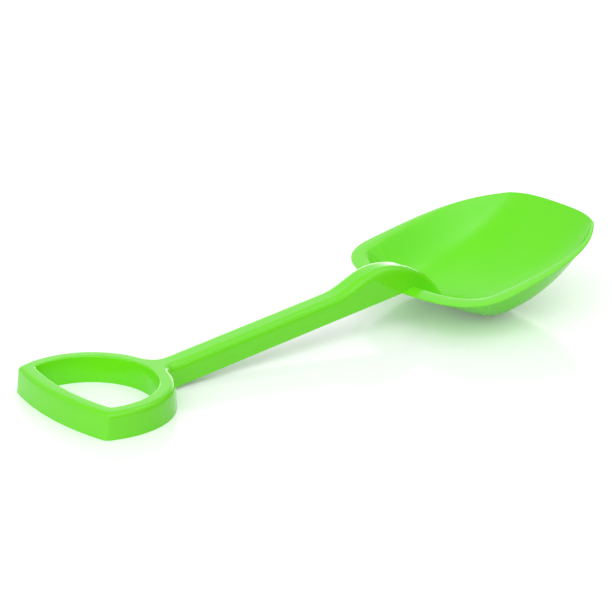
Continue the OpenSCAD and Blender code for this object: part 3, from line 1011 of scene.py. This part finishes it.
green = moulded_polypropylene()
pieces = [
    make_piece("moulded_grip_bar", grip_bar(), green, "grip_bar"),
    make_piece("moulded_grip_left", grip_limb(1), green, "grip_left"),
    make_piece("moulded_grip_right", grip_limb(-1), green, "grip_right"),
    make_piece("moulded_throat", grip_throat(), green, "grip_throat"),
    make_piece("moulded_shaft", shaft(), green, "shaft"),
    make_piece("moulded_neck", neck(), green, "neck"),
    make_piece("moulded_scoop", scoop_bowl(), green, "scoop_bowl"),
    make_piece("moulded_lip_left", lip(1), green, "lip_left"),
    make_piece("moulded_lip_right", lip(-1), green, "lip_right"),
]
share_normals(pieces)

# Floor, light and camera

FLOOR_SIZE = 12.0
floor_mesh = bpy.data.meshes.new("floor")
half = FLOOR_SIZE / 2
floor_corners = [(-half, -half, 0), (half, -half, 0), (half, half, 0), (-half, half, 0)]
floor_mesh.from_pydata(floor_corners, [], [(0, 1, 2, 3)])
floor_mesh.materials.append(polished_acrylic())
floor = bpy.data.objects.new("floor", floor_mesh)
bpy.context.scene.collection.objects.link(floor)

# Light panels round the shovel, drawn as soft patches of the world: azimuth and elevation in degrees, how
# narrow the patch is, and its strength
PANELS = [
    ("behind_low", 52, 12, 8, 0.7),
    ("behind_left_low", 97, 12, 8, 0.36),
    ("left_low", 142, 12, 8, 0.77),
    ("front_left_low", 187, 12, 8, 1.12),
    ("behind_high", 52, 45, 8, 0.5),
    ("behind_left_high", 97, 45, 8, 0.32),
    ("front_left_high", 187, 45, 8, 0.7),
    ("front_high", 232, 45, 8, 1.43),
    ("front_right_high", 277, 45, 8, 1.1),
    ("right_high", 322, 45, 8, 0.4),
    ("behind_right_high", 7, 45, 8, 0.3),
    ("overhead", 52, 90, 8, 0.28),
    ("behind_box_low", 40, 5, 50, 0.6),
    ("behind_left_box_low", 90, 5, 50, 0.62),
    ("right_box", 345, 28, 40, 0.4),
    ("behind_left_box", 84, 28, 40, 0.44),
    ("front_left_box", 187, 28, 40, 0.87),
    ("front_box", 232, 28, 40, 0.45),
    ("right_box_high", 345, 55, 60, 1.8),
    ("behind_box_high", 52, 60, 40, 0.26),
    ("front_right_box_high", 260, 60, 40, 0.52),
    ("strip_1", 25, 5, 120, 3.0),
    ("strip_2", 40, 5, 120, 3.0),
    ("strip_3", 55, 5, 120, 3.0),
    ("strip_4", 70, 5, 120, 3.0),
]


def panel_light(tree, panel):
    """Strength of one panel in the direction that the world is looked at."""
    name, azimuth, elevation, focus, strength = panel
    azimuth = math.radians(azimuth)
    elevation = math.radians(elevation)
    towards = (
        math.cos(elevation) * math.cos(azimuth),
        math.cos(elevation) * math.sin(azimuth),
        math.sin(elevation),
    )
    look = add_node(tree, "ShaderNodeTexCoord").outputs["Generated"]
    facing = add_node(tree, "ShaderNodeVectorMath", {"operation": "DOT_PRODUCT", "name": name}, Vector=look)
    facing.inputs[1].default_value = towards
    front = add_node(tree, "ShaderNodeMath", {"operation": "MAXIMUM"}, Value=facing.outputs["Value"])
    front.inputs[1].default_value = 0.0
    soft = add_node(tree, "ShaderNodeMath", {"operation": "POWER"}, Value=front.outputs["Value"])
    soft.inputs[1].default_value = focus
    level = add_node(tree, "ShaderNodeMath", {"operation": "MULTIPLY"}, Value=soft.outputs["Value"])
    level.inputs[1].default_value = strength
    return level.outputs["Value"]


world = bpy.data.worlds.new("white_studio")
world.use_nodes = True
bpy.context.scene.world = world
sky = world.node_tree.nodes["Background"]
sky.inputs["Color"].default_value = (1, 1, 1, 1)
studio = panel_light(world.node_tree, PANELS[0])
for panel in PANELS[1:]:
    light = panel_light(world.node_tree, panel)
    together = add_node(world.node_tree, "ShaderNodeMath", {"operation": "ADD"}, Value=light)
    world.node_tree.links.new(studio, together.inputs[1])
    studio = together.outputs["Value"]
rays = add_node(world.node_tree, "ShaderNodeLightPath")
seen = add_node(world.node_tree, "ShaderNodeMapRange", Value=rays.outputs["Is Camera Ray"], To_Max=1.0)
world.node_tree.links.new(studio, seen.inputs["To Min"])
world.node_tree.links.new(seen.outputs["Result"], sky.inputs["Strength"])

# The photograph's view: 612 pixels across, focal length 2500 of them
PHOTO_W = 612
FOCAL_PX = 2500
SENSOR = 36.0
CAMERA_TURN = math.radians(37.973)
CAMERA_RISE = math.radians(20.034)
CAMERA_AIM = Vector((0.0, 15.97, 19.8)) * MM
CAMERA_DISTANCE = 1571.8 * MM

view = Vector((
    math.cos(CAMERA_RISE) * math.sin(CAMERA_TURN),
    math.cos(CAMERA_RISE) * math.cos(CAMERA_TURN),
    -math.sin(CAMERA_RISE),
))
camera_data = bpy.data.cameras.new("photo_camera")
camera_data.sensor_fit = "HORIZONTAL"
camera_data.sensor_width = SENSOR
camera_data.lens = FOCAL_PX / PHOTO_W * SENSOR
camera = bpy.data.objects.new("photo_camera", camera_data)
camera.location = CAMERA_AIM - view * CAMERA_DISTANCE
camera.rotation_euler = view.to_track_quat("-Z", "Y").to_euler()
bpy.context.scene.collection.objects.link(camera)
bpy.context.scene.camera = camera
bpy.context.scene.view_settings.view_transform = "Standard"
